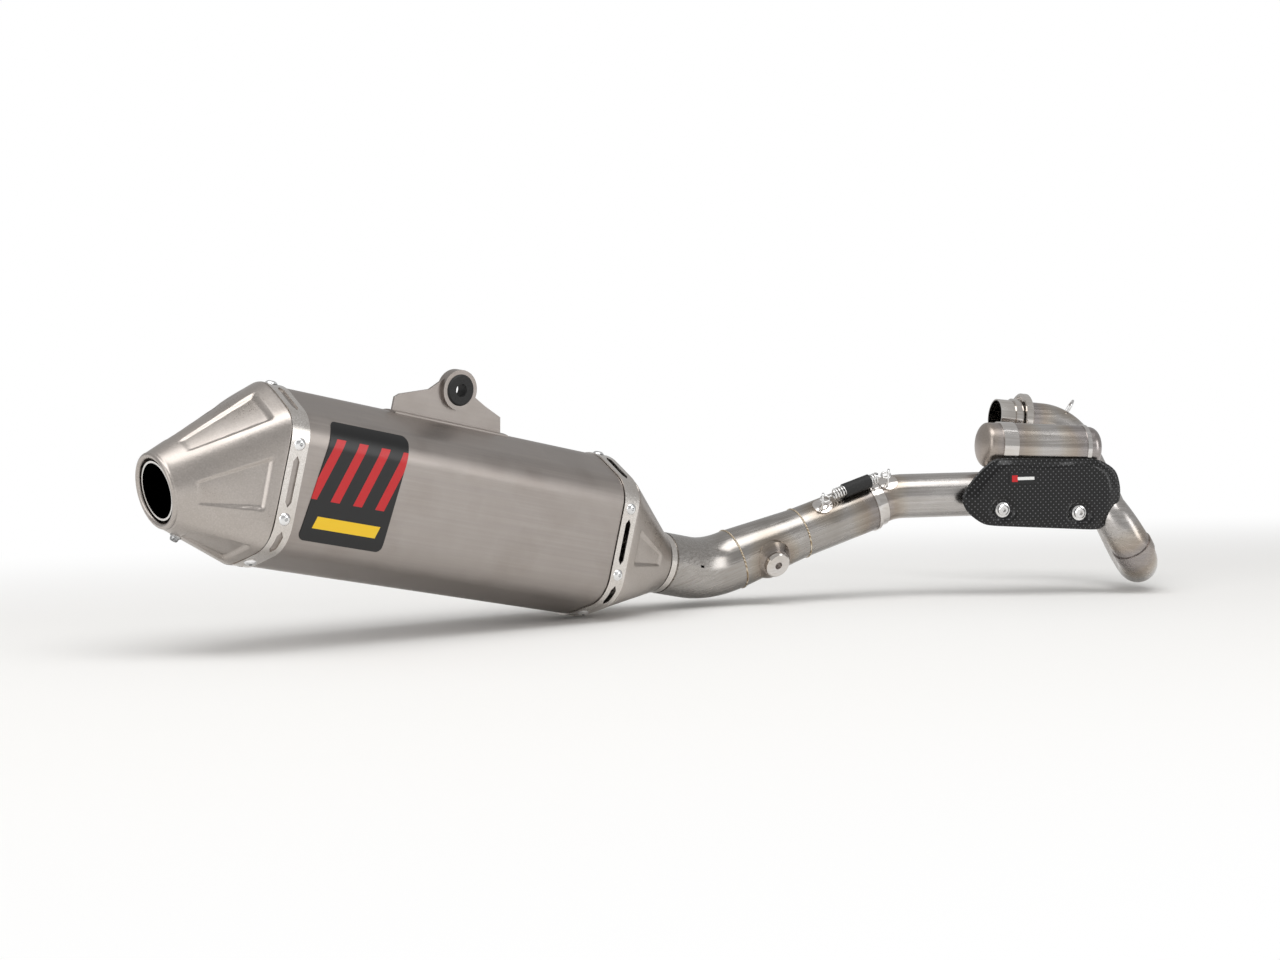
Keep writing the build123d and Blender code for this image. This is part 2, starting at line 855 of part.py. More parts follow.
def wire_loop(foot, out, across, height):
    """Bent wire loop whose two legs stand on a foot."""
    half = loop_width / 2
    with BuildPart() as loop:
        with BuildLine():
            loop_path = FilletPolyline(
                foot - across * half,
                foot - across * half + out * (height * 0.55),
                foot + out * height,
                foot + across * half + out * (height * 0.55),
                foot + across * half,
                radius=[3, 3, 3],
            )
        with BuildSketch(Plane(origin=loop_path @ 0, z_dir=loop_path % 0)):
            Circle(loop_wire / 2)
        sweep(path=loop_path)
    return loop.part


def loop_pad(foot, out, shell):
    """Round pad, cut from a shell that lies on the tube."""
    with BuildPart() as pad:
        with BuildSketch(Plane(origin=foot, z_dir=out)):
            Circle(pad_radius)
        extrude(amount=8, both=True)
        add(shell, mode=Mode.INTERSECT)
    return pad.part


link_radius = link_front_od / 2
loop_foot = spring_line(link_loop_place, link_radius + pad_wall)
link_shell = ring(
    along(link, taper_end), link_front_od + 2 * pad_wall, link_front_od, link_run - taper_end
)
across_link = spring_out.cross(link_forward)
leaning = (across_link + link_forward * 0.7).normalized()
save(loop_pad(loop_foot, spring_out, link_shell), "link_loop_pad")
link_loop_top = spring_lift + 6.1
link_loop_height = link_loop_top - link_radius - pad_wall
save(wire_loop(loop_foot, spring_out, leaning, link_loop_height), "link_spring_loop")

rear_radius = rear_tube_od / 2
header_foot = spring_line(header_loop_place, rear_radius + pad_wall)
pad_end = rear_tube_end
pad_start = pad_end - 26.0
rear_shell = pipe(stretch(pad_start, pad_end), rear_tube_od + 2 * pad_wall, rear_tube_od)
save(loop_pad(header_foot, spring_out, rear_shell), "header_loop_pad")
header_loop_top = spring_lift + 4.5
header_loop_height = header_loop_top - rear_radius - pad_wall
save(wire_loop(header_foot, spring_out, leaning, header_loop_height), "header_spring_loop")

# a second loop, on top of the first bend, for the spring that holds the header to the engine
engine_loop_place = 66.0
engine_station = station(engine_loop_place)
engine_forward = engine_station.z_dir
engine_out = (Vector(0, 0, 1) - engine_forward * engine_forward.Z).normalized()
engine_foot = engine_station.origin + engine_out * (port_tube_od / 2 - 0.3)
engine_across = engine_out.cross(engine_forward)
save(wire_loop(engine_foot, engine_out, engine_across, 13.0), "engine_spring_loop")

spring_back = link_run - 44.0
spring_front = link_run + 10.0
hook_gap = 2.2
coil_start = spring_back + 4.0
coil_length = spring_front - coil_start - 4.0
with BuildPart() as spring:
    coil_axis = Plane(
        origin=spring_line(coil_start, spring_lift), x_dir=spring_out, z_dir=link_forward
    )
    with BuildSketch(coil_axis):
        Circle(spring_od / 2)
        Circle(spring_od / 2 - spring_wire, mode=Mode.SUBTRACT)
    extrude(amount=coil_length)
    with BuildSketch(coil_axis):
        Circle(spring_od / 2)
    extrude(amount=spring_wire)
    with BuildSketch(coil_axis.offset(coil_length - spring_wire)):
        Circle(spring_od / 2)
    extrude(amount=spring_wire)
    with BuildSketch(coil_axis):
        Circle(spring_wire / 2)
    extrude(amount=-(coil_start - link_loop_place - hook_gap))
    with BuildSketch(coil_axis.offset(coil_length)):
        Circle(spring_wire / 2)
    extrude(amount=header_loop_place - coil_start - coil_length - hook_gap)
save(spring.part, "spring")

sleeve_back = link_run - 29.0
sleeve_front = link_run - 2.5
sleeve_plane = Plane(
    origin=spring_line(sleeve_back, spring_lift), x_dir=spring_out, z_dir=link_forward
)
save(ring(sleeve_plane, 12.4, spring_od + 0.1, sleeve_front - sleeve_back), "spring_sleeve")

# ---------------------------------------------------------------- chamber over the run
chamber_back = 89.0
chamber_fall = 3.3
chamber_radius = chamber_od / 2
chamber_lift = port_tube_od / 2 + chamber_radius + chamber_gap
chamber_start = on(run, chamber_back, chamber_lift + 1.5, chamber_out)
chamber_ahead = run_forward.rotate(Axis((0, 0, 0), run.z_dir), -chamber_fall)
chamber = Plane(origin=chamber_start, x_dir=run.z_dir, z_dir=chamber_ahead)
dome_depth = 9.0
cap_ring_start = 9.0
body_start = 23.0
body_end = body_start + 67.0
end_ring_width = 4.0
end_cap_length = 13.0
inner_radius = chamber_radius - wall
dome_radius = chamber_radius - 0.6
with BuildPart() as chamber_dome_cap:
    with BuildSketch(Plane(origin=chamber.origin, x_dir=chamber.x_dir, z_dir=-chamber.y_dir)):
        with BuildLine():
            EllipticalCenterArc((0, 0), dome_radius, dome_depth, -90, arc_size=90)
            Polyline(
                (dome_radius, 0), (dome_radius, cap_ring_start),
                (dome_radius - wall, cap_ring_start), (dome_radius - wall, 0),
            )
            EllipticalCenterArc((0, 0), dome_radius - wall, dome_depth - wall, -90, arc_size=90)
            Line((0, -dome_depth), (0, wall - dome_depth))
        make_face()
    revolve(axis=Axis(chamber.origin, chamber.z_dir))
save(chamber_dome_cap.part, "chamber_dome_cap")
cap_ring = ring(
    along(chamber, cap_ring_start), chamber_od + 1.2, 2 * inner_radius, body_start - cap_ring_start
)
save(cap_ring, "chamber_cap_ring")
end_ring = ring(along(chamber, body_end), chamber_od + 1.6, 2 * inner_radius, end_ring_width)
save(end_ring, "chamber_end_ring")
end_start = body_end + end_ring_width
end_radius = chamber_radius - 1.0
corner = 9.0
with BuildPart() as chamber_end_cap:
    with BuildSketch(along(chamber, end_start)):
        Circle(end_radius)
    extrude(amount=end_cap_length)
    fillet(chamber_end_cap.edges().sort_by(Axis((0, 0, 0), chamber_ahead))[-1], corner)
    back_face = chamber_end_cap.faces().sort_by(Axis((0, 0, 0), chamber_ahead))[0]
    offset(amount=-wall, openings=back_face)
save(chamber_end_cap.part, "chamber_end_cap")

# neck between the chamber and the header tube, saddle cut at both ends
neck_place = 160.0
neck_od = 20.0
neck_foot = on(run, neck_place, 0, 0)
neck_top = chamber.origin + chamber_ahead * (neck_place - chamber_back)
neck_up = (neck_top - neck_foot).normalized()
neck_plane = Plane(origin=neck_foot, x_dir=run_forward, z_dir=neck_up)
neck_height = (neck_top - neck_foot).length
with BuildPart() as chamber_neck:
    add(ring(neck_plane, neck_od, neck_od - 2 * wall, neck_height))
    with BuildSketch(Plane(origin=neck_foot - run_forward * 20, z_dir=run_forward)):
        Circle(port_tube_od / 2)
    extrude(amount=40, mode=Mode.SUBTRACT)
    with BuildSketch(chamber):
        Circle(chamber_radius)
    extrude(amount=body_end, mode=Mode.SUBTRACT)
save(chamber_neck.part, "chamber_neck")

with BuildPart() as chamber_body:
    add(ring(along(chamber, body_start), chamber_od, 2 * inner_radius, body_end - body_start))
    with BuildSketch(neck_plane):
        Circle(neck_od / 2 - wall)
    extrude(amount=neck_height, mode=Mode.SUBTRACT)
save(chamber_body.part, "chamber_body")
with BuildPart() as near_bend:
    add(pipe(stretch(ring_front, near_seam), port_tube_od, port_bore))
    with BuildSketch(neck_plane):
        Circle(neck_od / 2 - wall)
    extrude(amount=neck_height, mode=Mode.SUBTRACT)
save(near_bend.part, "near_bend")

# ---------------------------------------------------------------- heat shield
shield_face = rear_tube_od / 2 + shield_standoff
screw_spots = ((94.0, -13.0), (168.0, -18.0))
pocket_od = 21.0
pocket_depth = 3.4
post_od = 12.0
bevel = 2.6
shield_plane = along(run, shield_face)
with BuildSketch() as shield_outline:
    Polygon(
        (55, 2), (74, 25), (88, 34), (188, 31), (206, 21), (212, 0),
        (205, -22), (190, -34.5), (78, -27), (60, -15),
        align=None,
    )
    fillet(shield_outline.vertices(), 6.0)
with BuildPart() as heat_shield:
    with BuildSketch(shield_plane):
        add(shield_outline.sketch)
    extrude(amount=-shield_depth)
    chamfer(heat_shield.faces().sort_by(Axis((0, 0, 0), run.z_dir))[-1].edges(), bevel)
    with BuildSketch(shield_plane.offset(-shield_depth)):
        offset(shield_outline.sketch, amount=-shield_wall - bevel * 0.6)
    extrude(amount=shield_depth - shield_wall, mode=Mode.SUBTRACT)
    with BuildSketch(shield_plane.offset(-shield_depth)):
        with Locations(*screw_spots):
            Circle(pocket_od / 2)
    extrude(amount=shield_depth - shield_wall / 2)
    with BuildSketch(shield_plane):
        with Locations(*screw_spots):
            Circle(pocket_od / 2 - shield_wall)
    extrude(amount=-pocket_depth, mode=Mode.SUBTRACT)
    with BuildSketch(shield_plane):
        with Locations(*screw_spots):
            Circle(3.2)
    extrude(amount=-2 * shield_depth, mode=Mode.SUBTRACT)
    passing = tube_solid(run_station(run_length) - 60, near_seam, joint_ring_od)
    add(passing, mode=Mode.SUBTRACT)
save(heat_shield.part, "heat_shield")

post_top = shield_face - shield_depth
with BuildPart() as shield_posts:
    with BuildSketch(along(run, 2)):
        with Locations(*screw_spots):
            Circle(post_od / 2)
            Circle(3.0, mode=Mode.SUBTRACT)
    extrude(amount=post_top - 2)
    for spot, tube_od in zip(screw_spots, (rear_tube_od, port_tube_od)):
        place = run_station(spot[0])
        add(tube_solid(place - 12, place + 10, tube_od), mode=Mode.SUBTRACT)
save(shield_posts.part, "shield_posts")

screws = []
for spot in screw_spots:
    seat = Plane(
        origin=on(run, spot[0], spot[1], shield_face - pocket_depth),
        x_dir=run.x_dir,
        z_dir=run.z_dir,
    )
    screws.append(flanged_screw(seat, 9.0, 6.0))
save(Compound(children=screws), "shield_screws")

with BuildPart() as shield_badge:
    with BuildSketch(shield_plane):
        with Locations((113, 15)):
            RectangleRounded(27, 9.5, 1.2)
    extrude(amount=0.5)
save(shield_badge.part, "shield_badge")
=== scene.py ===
import bpy
import bmesh
import json
from math import cos, pi, radians, sin
from mathutils import Matrix, Vector


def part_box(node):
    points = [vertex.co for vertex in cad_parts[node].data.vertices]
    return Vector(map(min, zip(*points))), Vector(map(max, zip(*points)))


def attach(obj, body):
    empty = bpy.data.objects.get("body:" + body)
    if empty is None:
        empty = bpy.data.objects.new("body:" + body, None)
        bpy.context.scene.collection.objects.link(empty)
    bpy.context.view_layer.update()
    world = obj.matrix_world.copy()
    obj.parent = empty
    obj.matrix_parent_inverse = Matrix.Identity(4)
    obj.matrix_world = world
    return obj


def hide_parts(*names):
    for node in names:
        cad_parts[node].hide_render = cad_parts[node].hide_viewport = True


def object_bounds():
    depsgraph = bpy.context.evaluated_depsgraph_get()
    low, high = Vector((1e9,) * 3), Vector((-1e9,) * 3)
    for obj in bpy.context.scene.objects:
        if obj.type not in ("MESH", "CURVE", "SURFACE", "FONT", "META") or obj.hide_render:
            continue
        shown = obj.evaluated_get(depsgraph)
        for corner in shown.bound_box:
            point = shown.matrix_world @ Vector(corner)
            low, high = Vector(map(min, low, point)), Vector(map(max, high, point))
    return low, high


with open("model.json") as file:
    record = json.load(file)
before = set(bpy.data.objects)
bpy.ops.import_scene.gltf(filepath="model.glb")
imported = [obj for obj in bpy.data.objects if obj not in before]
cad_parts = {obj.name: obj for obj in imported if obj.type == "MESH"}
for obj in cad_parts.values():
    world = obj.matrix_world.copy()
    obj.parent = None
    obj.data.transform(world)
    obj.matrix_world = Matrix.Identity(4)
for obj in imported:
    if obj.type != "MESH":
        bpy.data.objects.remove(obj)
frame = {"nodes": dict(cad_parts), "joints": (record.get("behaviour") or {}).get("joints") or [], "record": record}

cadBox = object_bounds()
record = frame["record"]
joints = {joint["name"]: joint for joint in frame["joints"]}
mounts = {mount["name"]: mount for mount in record["mounts"]}
print("frame loaded,", len(frame["nodes"]), "nodes")


# places, from the frame

silencerSize = {
    "eyeAlong": 0.1745,   # hanger eye, forward of the outlet edge
    "eyeUp": 0.0946,      # and above the sleeve's middle
    "halfWidth": 0.0536,
}
runHeading = {"yaw": -17.32, "pitch": 0.88}  # degrees, the header's straight run


def axesAt(origin, forward, left):  # x left, y up, z forward
    forward = Vector(forward).normalized()
    left = Vector(left).normalized()
    up = forward.cross(left)
    turn = Matrix((left, up, forward)).transposed().to_4x4()
    return Matrix.Translation(origin) @ turn


turnJoint = joints["silencer_turn"]
silencerForward = Vector(turnJoint["axis"])
silencerLeft = -Vector(mounts["silencer_grommet"]["axis"])
silencerUp = silencerForward.cross(silencerLeft)
eyePlace = Vector(mounts["silencer_grommet"]["pos_m"])
silencerOrigin = eyePlace - silencerForward * silencerSize["eyeAlong"] - silencerUp * silencerSize["eyeUp"]
silencerPlace = axesAt(silencerOrigin, silencerForward, silencerLeft)

linkForward = -Vector(joints["link_slip"]["axis"])
linkLeft = Vector((0, 0, 1)).cross(linkForward)
linkPlace = axesAt(Vector(turnJoint["pos_m"]), linkForward, linkLeft)

runForward = Vector((
    cos(radians(runHeading["yaw"])),
    sin(radians(runHeading["yaw"])),
    sin(radians(runHeading["pitch"])),
)).normalized()
runPlace = axesAt(Vector((0, 0, 0)), runForward, Vector((0, 0, 1)).cross(runForward))
tipOut = Vector(joints["insert_slide"]["axis"])
tipPlace = axesAt(Vector(mounts["outlet"]["pos_m"]), -tipOut, silencerLeft)
ringAxis = Vector(joints["ring_spin"]["axis"])
mouthPlace = axesAt(Vector((0, 0, 0)), ringAxis, Vector((0, 0, 1)).cross(ringAxis))


def middle(node):
    low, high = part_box(node)
    return (low + high) / 2


# material helpers

def toLinear(hexColour):
    channels = [int(hexColour[i:i + 2], 16) / 255 for i in (1, 3, 5)]
    linear = [c / 12.92 if c <= 0.04045 else ((c + 0.055) / 1.055) ** 2.4 for c in channels]
    return (*linear, 1)


def addNode(tree, kind, settings=None, **links):
    node = tree.nodes.new(kind)
    for key, value in (settings or {}).items():
        setattr(node, key, value)
    for key, value in links.items():
        name = key.replace("_", " ")
        numbered = key.startswith("in") and key[2:].isdigit()
        socket = node.inputs[int(key[2:]) if numbered else name]
        if isinstance(value, bpy.types.NodeSocket):
            tree.links.new(value, socket)
        else:
            socket.default_value = value
    return node


def newMaterial(name):
    material = bpy.data.materials.new(name)
    material.use_nodes = True
    tree = material.node_tree
    return material, tree, tree.nodes["Principled BSDF"]


def localCoords(tree, place):  # a piece's own axes, in metres
    inverse = place.inverted()
    coords = addNode(tree, "ShaderNodeTexCoord")
    return addNode(
        tree, "ShaderNodeMapping", None,
        Vector=coords.outputs["Object"],
        Location=inverse.to_translation(),
        Rotation=inverse.to_euler(),
    ).outputs["Vector"]


def stretched(tree, vector, scale):
    return addNode(tree, "ShaderNodeMapping", None, Vector=vector, Scale=scale).outputs["Vector"]


def ramp(tree, factor, stops):
    node = addNode(tree, "ShaderNodeValToRGB", None, Fac=factor)
    elements = node.color_ramp.elements
    while len(elements) < len(stops):
        elements.new(0.5)
    for element, (place, colour) in zip(elements, stops):
        element.position = place
        element.color = toLinear(colour) if isinstance(colour, str) else (colour, colour, colour, 1)
    return node.outputs["Color"]


def mixColour(tree, factor, first, second, blend="MIX"):
    node = addNode(tree, "ShaderNodeMix", {"data_type": "RGBA", "blend_type": blend})
    for socket, value in ((node.inputs[0], factor), (node.inputs[6], first), (node.inputs[7], second)):
        if isinstance(value, bpy.types.NodeSocket):
            tree.links.new(value, socket)
        else:
            socket.default_value = value
    return node.outputs[2]


def sums(tree, operation, first, second, clamp=False):
    settings = {"operation": operation, "use_clamp": clamp}
    return addNode(tree, "ShaderNodeMath", settings, in0=first, in1=second).outputs[0]


def weldNearness(tree, spots, reach):  # 1 on a weld, 0 beyond reach; spots are (centre, radius)
    coords = addNode(tree, "ShaderNodeTexCoord").outputs["Object"]
    nearest = None
    for centre, radius in spots:
        span = addNode(tree, "ShaderNodeVectorMath", {"operation": "DISTANCE"}, in0=coords, in1=centre)
        past = sums(tree, "SUBTRACT", span.outputs["Value"], radius)
        nearest = past if nearest is None else sums(tree, "MINIMUM", nearest, past)
    share = sums(tree, "DIVIDE", nearest, reach)
    return sums(tree, "SUBTRACT", 1.0, share, clamp=True)


# materials

metalSizes = {
    "drawLine": 0.0009,   # m between fine lines on drawn tube
    "brushLine": 0.0011,  # m between brush lines, drawn coarser than real so they show
    "blastGrain": 0.0012,
    "tintReach": 0.016,
}
weldSpots = [
    (middle("joint_ring"), 0.0175),
    (middle("inlet_flange_ring"), 0.0200),
    (middle("slip_rim"), 0.0226),
    (middle("chamber_end_ring"), 0.0215),
    (middle("chamber_cap_ring"), 0.0215),
    (middle("link_loop_pad"), 0.0060),
    (middle("header_loop_pad"), 0.0060),
    (middle("boss_saddle"), 0.0130),
    (middle("engine_spring_loop"), 0.0060),
]


def titaniumMaterial(name, place, tones, roughness, lineScale, tint, bump):
    # sheet titanium: warm grey, satin, fine lines one way, straw and brown tint beside welds
    dark, base, light = tones
    material, tree, shader = newMaterial(name)
    local = localCoords(tree, place)
    lines = addNode(
        tree, "ShaderNodeTexNoise", {"noise_dimensions": "3D"},
        Vector=stretched(tree, local, lineScale), Scale=1.0, Detail=3.0, Roughness=0.6,
    ).outputs["Fac"]
    clouds = addNode(
        tree, "ShaderNodeTexNoise", None, Vector=local, Scale=22.0, Detail=4.0, Roughness=0.55,
    ).outputs["Fac"]
    tone = ramp(tree, lines, [(0.30, dark), (0.52, base), (0.75, light)])
    patch = ramp(tree, clouds, [(0.32, "#ddd8d2"), (0.52, "#ffffff"), (0.70, "#f5f3f0")])
    colour = mixColour(tree, 0.35, tone, patch, "MULTIPLY")
    if tint:
        near = weldNearness(tree, weldSpots, metalSizes["tintReach"])
        wander = sums(tree, "MULTIPLY", near, sums(tree, "ADD", clouds, 0.45))
        band = ramp(tree, wander, [(0.0, "#ffffff"), (0.35, "#efe3cf"), (0.70, "#c9ac86"), (0.97, "#a79a9c")])
        colour = mixColour(tree, tint, colour, band, "MULTIPLY")
    tree.links.new(colour, shader.inputs["Base Color"])
    shader.inputs["Metallic"].default_value = 1.0
    worn = addNode(
        tree, "ShaderNodeMapRange", None, Value=sums(tree, "ADD", lines, clouds),
        From_Min=0.7, From_Max=1.3, To_Min=roughness - 0.07, To_Max=roughness + 0.09,
    ).outputs["Result"]
    tree.links.new(worn, shader.inputs["Roughness"])
    bumpNode = addNode(tree, "ShaderNodeBump", None, Strength=bump, Distance=0.0003, Height=lines)
    tree.links.new(bumpNode.outputs["Normal"], shader.inputs["Normal"])
    return material


def carbonMaterial():
    # plain weave carbon under clear coat: near black tows, with a painted sheen that lightens them by turns
    tow = 0.0025  # m between tows, a little coarse so the weave shows
    material, tree, shader = newMaterial("clearCoatedCarbonWeave")
    local = localCoords(tree, runPlace)
    split = addNode(tree, "ShaderNodeSeparateXYZ", None, Vector=local)
    across = sums(tree, "DIVIDE", split.outputs["Z"], tow)
    upward = sums(tree, "DIVIDE", split.outputs["Y"], tow)
    flip = sums(tree, "ADD", sums(tree, "FLOOR", across, 0.0), sums(tree, "FLOOR", upward, 0.0))
    which = sums(tree, "PINGPONG", flip, 1.0)
    waveA = sums(tree, "PINGPONG", across, 0.5)
    waveB = sums(tree, "PINGPONG", upward, 0.5)
    height = mixColour(tree, which, waveA, waveB)
    # painted sheen: a highlight on each tow's middle, painted into the base colour
    paintedSheen = sums(tree, "MULTIPLY", sums(tree, "MULTIPLY", waveA, waveB), 4.0)
    paintedSheenByTurns = sums(tree, "MULTIPLY", sums(tree, "ADD", which, 0.35), paintedSheen)
    weaveAndPaintedSheen = ramp(tree, paintedSheenByTurns, [(0.0, "#020202"), (0.45, "#080808"), (1.0, "#646466")])
    tree.links.new(weaveAndPaintedSheen, shader.inputs["Base Color"])
    shader.inputs["Roughness"].default_value = 0.32
    shader.inputs["Specular IOR Level"].default_value = 0.25
    shader.inputs["Coat Weight"].default_value = 0.35
    shader.inputs["Coat Roughness"].default_value = 0.04
    bumpNode = addNode(tree, "ShaderNodeBump", None, Strength=0.5, Distance=0.0004, Height=height)
    tree.links.new(bumpNode.outputs["Normal"], shader.inputs["Normal"])
    return material


def rubberMaterial():
    # moulded rubber: near black, matt, faint grain
    material, tree, shader = newMaterial("mouldedRubber")
    local = localCoords(tree, linkPlace)
    grain = addNode(tree, "ShaderNodeTexNoise", None, Vector=local, Scale=900.0, Detail=3.0).outputs["Fac"]
    tree.links.new(ramp(tree, grain, [(0.3, "#121212"), (0.7, "#232323")]), shader.inputs["Base Color"])
    shader.inputs["Roughness"].default_value = 0.62
    bumpNode = addNode(tree, "ShaderNodeBump", None, Strength=0.25, Distance=0.0002, Height=grain)
    tree.links.new(bumpNode.outputs["Normal"], shader.inputs["Normal"])
    return material


def brightMaterial(name, colour, roughness):
    # polished or plated steel: bright, with light smudges in the gloss
    material, tree, shader = newMaterial(name)
    local = localCoords(tree, linkPlace)
    smudge = addNode(tree, "ShaderNodeTexNoise", None, Vector=local, Scale=160.0, Detail=4.0).outputs["Fac"]
    tree.links.new(ramp(tree, smudge, [(0.3, colour), (0.8, "#ffffff")]), shader.inputs["Base Color"])
    shader.inputs["Metallic"].default_value = 1.0
    gloss = addNode(
        tree, "ShaderNodeMapRange", None, Value=smudge,
        From_Min=0.3, From_Max=0.7, To_Min=roughness - 0.04, To_Max=roughness + 0.08,
    ).outputs["Result"]
    tree.links.new(gloss, shader.inputs["Roughness"])
    return material


def weldMaterial():
    # weld bead: ripples like stacked coins, straw and violet tint
    material, tree, shader = newMaterial("rippledWeld")
    coords = addNode(tree, "ShaderNodeTexCoord").outputs["Object"]
    ripple = addNode(
        tree, "ShaderNodeTexWave", {"wave_type": "BANDS", "bands_direction": "DIAGONAL"},
        Vector=coords, Scale=260.0, Distortion=1.2, Detail=1.0,
    ).outputs["Fac"]
    tones = ramp(tree, ripple, [(0.0, "#8c7a66"), (0.5, "#c9b493"), (1.0, "#efe6d6")])
    tree.links.new(tones, shader.inputs["Base Color"])
    shader.inputs["Metallic"].default_value = 1.0
    shader.inputs["Roughness"].default_value = 0.3
    bumpNode = addNode(tree, "ShaderNodeBump", None, Strength=0.6, Distance=0.0004, Height=ripple)
    tree.links.new(bumpNode.outputs["Normal"], shader.inputs["Normal"])
    return material


def panelMaterial():
    # printed foil: gloss black with slanting red bars and a yellow edge bar
    material, tree, shader = newMaterial("printedFoil")
    local = localCoords(tree, silencerPlace)
    split = addNode(tree, "ShaderNodeSeparateXYZ", None, Vector=local)
    slant = sums(tree, "ADD", split.outputs["Z"], sums(tree, "MULTIPLY", split.outputs["Y"], -0.35))
    bar = sums(tree, "PINGPONG", sums(tree, "DIVIDE", slant, 0.02), 0.5)
    belowTop = sums(tree, "LESS_THAN", split.outputs["Y"], 0.038)
    aboveBar = sums(tree, "GREATER_THAN", split.outputs["Y"], -0.008)
    lowPart = sums(tree, "MULTIPLY", belowTop, aboveBar)
    red = sums(tree, "MULTIPLY", sums(tree, "GREATER_THAN", bar, 0.30), lowPart)
    colour = mixColour(tree, red, toLinear("#0b0b0c"), toLinear("#c3141b"))
    yellowLow = sums(tree, "GREATER_THAN", split.outputs["Y"], -0.029)
    yellowHigh = sums(tree, "LESS_THAN", split.outputs["Y"], -0.020)
    yellowBack = sums(tree, "GREATER_THAN", slant, 0.042)
    yellowFront = sums(tree, "LESS_THAN", slant, 0.098)
    yellow = sums(tree, "MULTIPLY", yellowLow, yellowHigh)
    yellow = sums(tree, "MULTIPLY", yellow, sums(tree, "MULTIPLY", yellowBack, yellowFront))
    colour = mixColour(tree, yellow, colour, toLinear("#f0c419"))
    tree.links.new(colour, shader.inputs["Base Color"])
    shader.inputs["Roughness"].default_value = 0.28
    return material


def plateMaterial():
    # small printed plate: gloss black with a red block and a white bar
    plateSize = {"redFrom": -0.0110, "redTo": -0.0055, "whiteTo": 0.0105, "red": 0.0030, "white": 0.0014}
    material, tree, shader = newMaterial("printedPlate")
    place = axesAt(middle("shield_badge"), runForward, Vector((0, 0, 1)).cross(runForward))
    split = addNode(tree, "ShaderNodeSeparateXYZ", None, Vector=localCoords(tree, place))
    height = sums(tree, "ABSOLUTE", split.outputs["Y"], 0.0)
    pastStart = sums(tree, "GREATER_THAN", split.outputs["Z"], plateSize["redFrom"])
    pastRed = sums(tree, "GREATER_THAN", split.outputs["Z"], plateSize["redTo"])
    beforeEnd = sums(tree, "LESS_THAN", split.outputs["Z"], plateSize["whiteTo"])
    inRed = sums(tree, "MULTIPLY", pastStart, sums(tree, "LESS_THAN", height, plateSize["red"]))
    inWhite = sums(tree, "MULTIPLY", beforeEnd, sums(tree, "LESS_THAN", height, plateSize["white"]))
    colour = mixColour(tree, inRed, toLinear("#0b0b0c"), toLinear("#c3141b"))
    rest = mixColour(tree, inWhite, toLinear("#0b0b0c"), toLinear("#e6e6e4"))
    tree.links.new(mixColour(tree, pastRed, colour, rest), shader.inputs["Base Color"])
    shader.inputs["Roughness"].default_value = 0.3
    return material


def fibreMaterial():
    # packing fibre: pale, loose, matt
    material, tree, shader = newMaterial("packingFibre")
    local = localCoords(tree, silencerPlace)
    strands = addNode(tree, "ShaderNodeTexNoise", None, Vector=local, Scale=400.0, Detail=6.0).outputs["Fac"]
    tree.links.new(ramp(tree, strands, [(0.3, "#a8976a"), (0.7, "#e6dcb8")]), shader.inputs["Base Color"])
    shader.inputs["Roughness"].default_value = 0.95
    return material


def insertMaterial():
    # outlet tube: bright turned rim, the bore inside near black with faint streaks
    material, tree, shader = newMaterial("darkBoredOutletTube")
    local = localCoords(tree, tipPlace)
    split = addNode(tree, "ShaderNodeSeparateXYZ", None, Vector=local)
    flat = addNode(tree, "ShaderNodeCombineXYZ", None, X=split.outputs["X"], Y=split.outputs["Y"])
    distance = addNode(tree, "ShaderNodeVectorMath", {"operation": "LENGTH"}, in0=flat.outputs[0])
    span = distance.outputs["Value"]
    # the bore past the rim is coloured near black, with streaks
    inside = sums(tree, "LESS_THAN", span, 0.02062)
    deep = sums(tree, "GREATER_THAN", split.outputs["Z"], 0.0006)
    darkBoreMask = sums(tree, "MULTIPLY", inside, deep)
    streaks = addNode(
        tree, "ShaderNodeTexNoise", None, Vector=stretched(tree, local, (900, 900, 30)), Scale=1.0, Detail=3.0,
    ).outputs["Fac"]
    boreDarkTone = ramp(tree, streaks, [(0.3, "#0d0c0b"), (0.75, "#3a3734")])
    tree.links.new(mixColour(tree, darkBoreMask, toLinear("#dfdcd8"), boreDarkTone), shader.inputs["Base Color"])
    shader.inputs["Metallic"].default_value = 1.0
    shader.inputs["Roughness"].default_value = 0.24
    return material


def lineScales(along, spacing):  # for lines along one local axis: 0 x, 1 y, 2 z
    fine = 1 / (spacing * 2)
    scale = [fine, fine, fine]
    scale[along] = fine / 60
    return tuple(scale)


